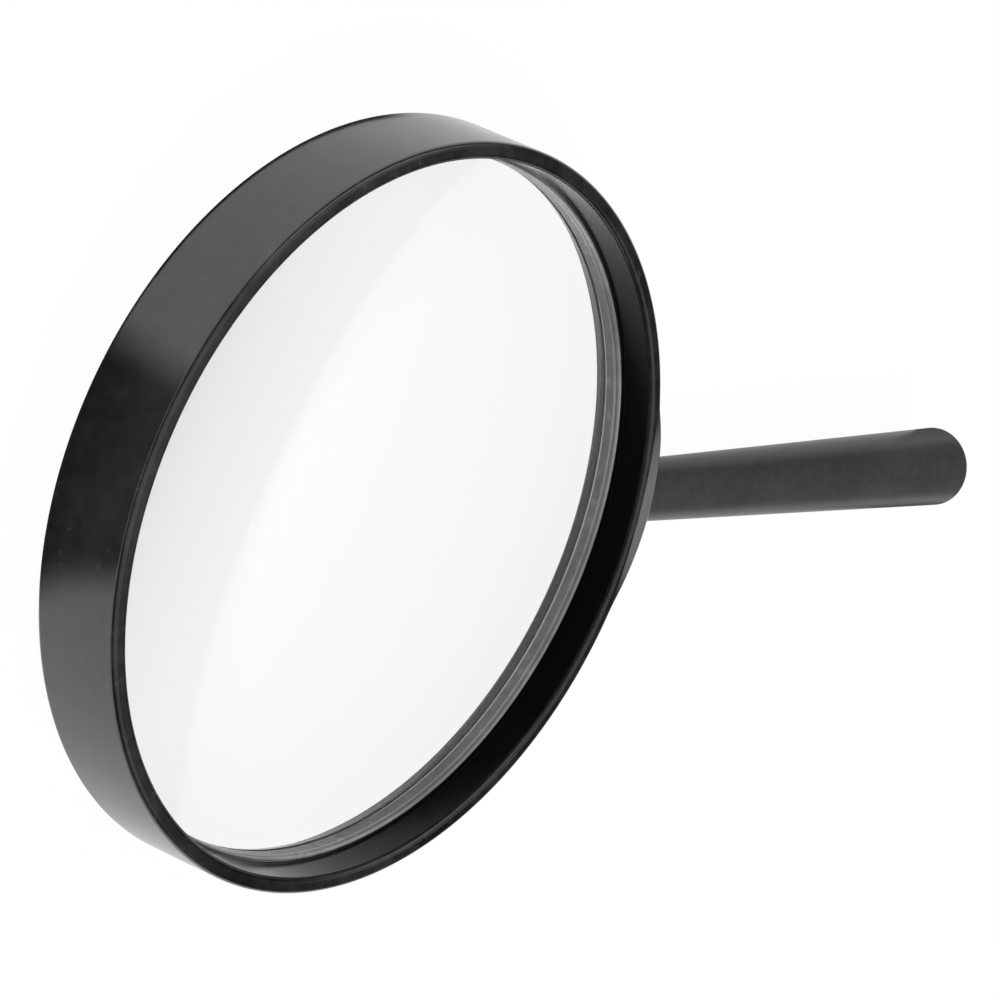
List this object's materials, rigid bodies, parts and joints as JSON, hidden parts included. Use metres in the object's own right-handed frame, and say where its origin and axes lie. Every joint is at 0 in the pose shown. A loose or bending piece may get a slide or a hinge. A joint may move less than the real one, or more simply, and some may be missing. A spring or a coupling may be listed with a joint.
{
  "type": "magnifying glass",
  "caption": "Hand magnifying glass: a round biconvex lens held by a ring in a deep round frame, with a tapered screw-on handle on a saddle boss.",
  "frame": {"origin": "on the lens axis, in the plane of the rear rim, on which the glass lies", "axes": "+Z along the lens axis, from the rear rim to the front rim; +X along the handle, away from the lens"},
  "size_m": [0.2564, 0.1378, 0.0175],
  "materials": {
    "frame_plastic": "moulded, semi-gloss outside, finely matt in the recess",
    "retainer_plastic": "moulded, semi-gloss",
    "handle_plastic": "moulded, satin",
    "lens_glass": "polished and clear",
    "stud_steel": "bright zinc plate"
  },
  "bodies": {
    "frame": {"lens_frame": "frame_plastic", "lens": "lens_glass", "retaining_ring": "retainer_plastic"},
    "stud": {"handle_stud": "stud_steel"},
    "handle": {"handle": "handle_plastic"}
  },
  "joints": [
    {"name": "handle_travel", "type": "slide", "parent": "frame", "child": "stud", "axis": [1, 0, 0], "range_m": [0, 0.005]},
    {"name": "handle_turn", "type": "hinge", "parent": "stud", "child": "handle", "pos_m": [0.0716, 0, 0.00875], "axis": [1, 0, 0], "range_deg": [0, 2250]}
  ],
  "couplings": [
    {"joint": "handle_turn", "follows": "handle_travel", "rad_per_m": 7854}
  ]
}
